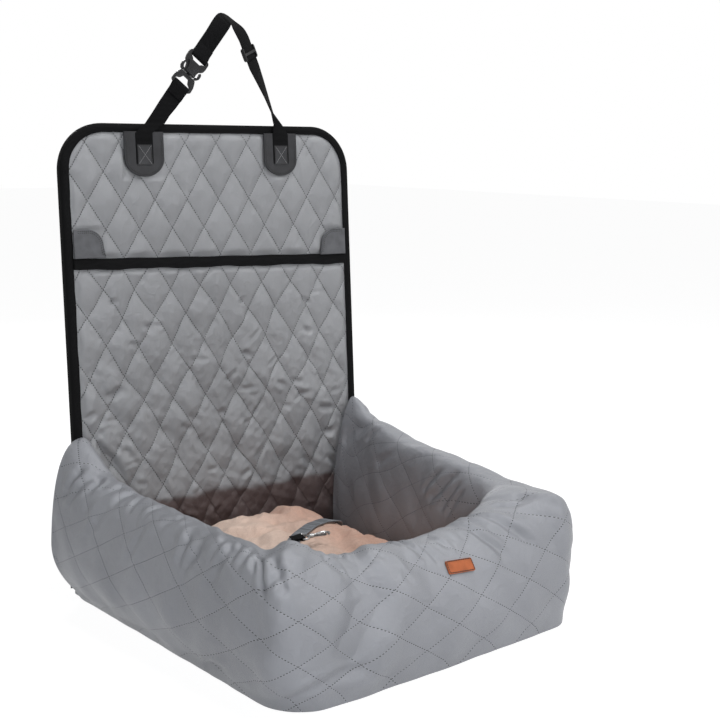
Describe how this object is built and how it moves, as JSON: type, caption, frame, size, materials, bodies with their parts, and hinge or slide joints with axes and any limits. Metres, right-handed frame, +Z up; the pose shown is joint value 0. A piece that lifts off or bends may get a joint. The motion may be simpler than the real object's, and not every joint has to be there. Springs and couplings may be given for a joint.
{
  "type": "dog car seat",
  "caption": "Padded dog car seat: stuffed bed wall, plush cushion, quilted folding back with a pocket, buckled headrest strap, tether and zip.",
  "frame": {"origin": "middle of the base's underside, on the surface that the seat stands on", "axes": "+Z up, -Y to the bed's front wall, +Y to the back panel, +X to the right as seen from the front"},
  "size_m": [0.6184, 0.6633, 0.9091],
  "materials": {
    "panel": "grey quilted satin-weave cloth",
    "pocket": "grey quilted satin-weave cloth",
    "bolster": "grey quilted satin-weave cloth",
    "fill": "white fibre stuffing",
    "board": "plain sheet",
    "lining": "dark plain-weave cloth",
    "binding": "black woven tape",
    "webbing": "black webbing",
    "leather": "charcoal leather-look sheet",
    "tab": "grey leather-look sheet",
    "plush": "pinkish tan plush",
    "foam": "foam",
    "tether": "grey webbing",
    "label": "orange-brown leather-look sheet",
    "plastic": "black moulded plastic",
    "metal": "polished"
  },
  "bodies": {
    "bed": {"base_panel": "lining", "floor_pad": "foam", "bolster_cover": "bolster", "fill_left": "fill", "fill_front": "fill", "fill_right": "fill", "end_gusset_left": "bolster", "end_gusset_right": "bolster", "cushion_underside": "plush", "cushion_cover": "plush", "cushion_foam": "foam", "lining_lower": "lining", "board_lower": "board", "quilt_lower": "panel", "pocket_lower": "pocket", "binding_lower_left": "binding", "binding_lower_right": "binding", "label": "label", "tether_strap": "tether", "hook_strap": "webbing", "swivel_eye": "metal", "zip_tape": "webbing", "zip_coil": "plastic"},
    "upper_back": {"lining_upper": "lining", "board_upper": "board", "quilt_upper": "panel", "pocket_upper": "pocket", "binding_upper": "binding", "pocket_band": "binding", "tab_left": "tab", "tab_right": "tab", "strap_patch_left": "leather", "strap_patch_right": "leather", "strap_end_left": "webbing", "strap_end_right": "webbing"},
    "headrest_strap": {"strap_short": "webbing", "strap_long": "webbing", "buckle_male": "plastic", "buckle_female": "plastic"},
    "strap_slider": {"strap_slider": "plastic"},
    "prong_left": {"prong_left": "plastic"},
    "prong_right": {"prong_right": "plastic"},
    "snap_hook": {"hook_body": "metal"},
    "hook_gate": {"hook_gate": "metal"},
    "zip_slider": {"zip_slider": "metal"},
    "zip_pull": {"zip_pull": "plastic"}
  },
  "joints": [
    {"name": "back_fold", "type": "hinge", "parent": "bed", "child": "upper_back", "pos_m": [0.0035, 0.28369, 0.26798], "axis": [1, 0, 0], "range_deg": [-20, 94]},
    {"name": "strap_swing", "type": "hinge", "parent": "upper_back", "child": "headrest_strap", "pos_m": [0.0035, 0.31089, 0.73058], "axis": [1, 0, 0], "range_deg": [-60, 30]},
    {"name": "slider_adjust", "type": "slide", "parent": "headrest_strap", "child": "strap_slider", "axis": [-0.3746, 0.0679, 0.9247], "range_m": [-0.012, 0.012]},
    {"name": "prong_left_press", "type": "hinge", "parent": "headrest_strap", "child": "prong_left", "pos_m": [-0.04821, 0.31707, 0.81468], "axis": [0, -0.9973, 0.0732], "range_deg": [-7, 0], "stiffness_Nm_per_rad": 0.06},
    {"name": "prong_right_press", "type": "hinge", "parent": "headrest_strap", "child": "prong_right", "pos_m": [-0.03177, 0.31611, 0.80164], "axis": [0, -0.9973, 0.0732], "range_deg": [0, 7]},
    {"name": "hook_swivel", "type": "hinge", "parent": "bed", "child": "snap_hook", "pos_m": [-0.062, -0.0545, 0.13888], "axis": [0.9603, -0.2701, 0.0698], "continuous": true},
    {"name": "gate_open", "type": "hinge", "parent": "snap_hook", "child": "hook_gate", "pos_m": [-0.05082, -0.0608, 0.13975], "axis": [-0.0672, 0.0189, 0.9976], "range_deg": [0, 28], "stiffness_Nm_per_rad": 0.02},
    {"name": "zip_run", "type": "slide", "parent": "bed", "child": "zip_slider", "axis": [1, 0, 0], "range_m": [0, 0.488]},
    {"name": "zip_pull_swing", "type": "hinge", "parent": "zip_slider", "child": "zip_pull", "pos_m": [-0.242, 0.2868, 0.01267], "axis": [0, 0.0732, 0.9973], "range_deg": [-175, 0]}
  ],
  "couplings": [
    {"joint": "prong_right_press", "follows": "prong_left_press", "ratio": -1}
  ]
}
